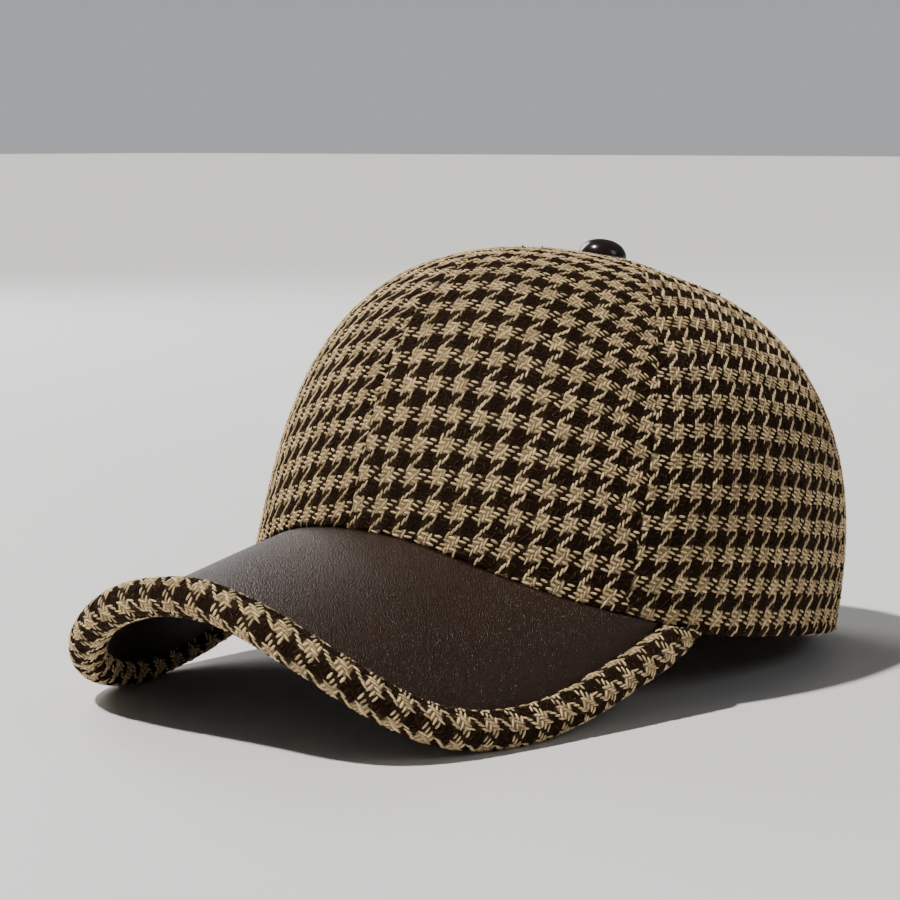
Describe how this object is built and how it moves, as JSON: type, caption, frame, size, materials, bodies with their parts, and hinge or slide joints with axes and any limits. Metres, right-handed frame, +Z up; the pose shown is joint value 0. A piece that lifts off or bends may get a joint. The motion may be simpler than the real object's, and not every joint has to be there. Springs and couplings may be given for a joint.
{
  "type": "six-panel peaked cap",
  "caption": "Cloth cap with a rounded panelled crown, a curved leather peak bound in the same cloth, and a domed button on top; worn on the head.",
  "frame": {"origin": "middle of the bounding box's underside, on the table that the cap stands on", "axes": "+Z up; the cap faces -Y; +X is the wearer's left"},
  "size_m": [0.1654, 0.2714, 0.1293],
  "materials": {
    "houndstooth_cloth": "woollen houndstooth in beige and dark brown, matt with a slight fuzz",
    "brown_leather": "dark brown leather with a fine pebble grain and a soft sheen",
    "dark_button": "very dark brown, polished"
  },
  "bodies": {
    "root": {"crown_front_left": "houndstooth_cloth", "crown_front_right": "houndstooth_cloth", "crown_side_left": "houndstooth_cloth", "crown_side_right": "houndstooth_cloth", "crown_back_left": "houndstooth_cloth", "crown_back_right": "houndstooth_cloth", "peak": "brown_leather", "peak_binding": "houndstooth_cloth", "top_button": "dark_button"}
  },
  "joints": []
}
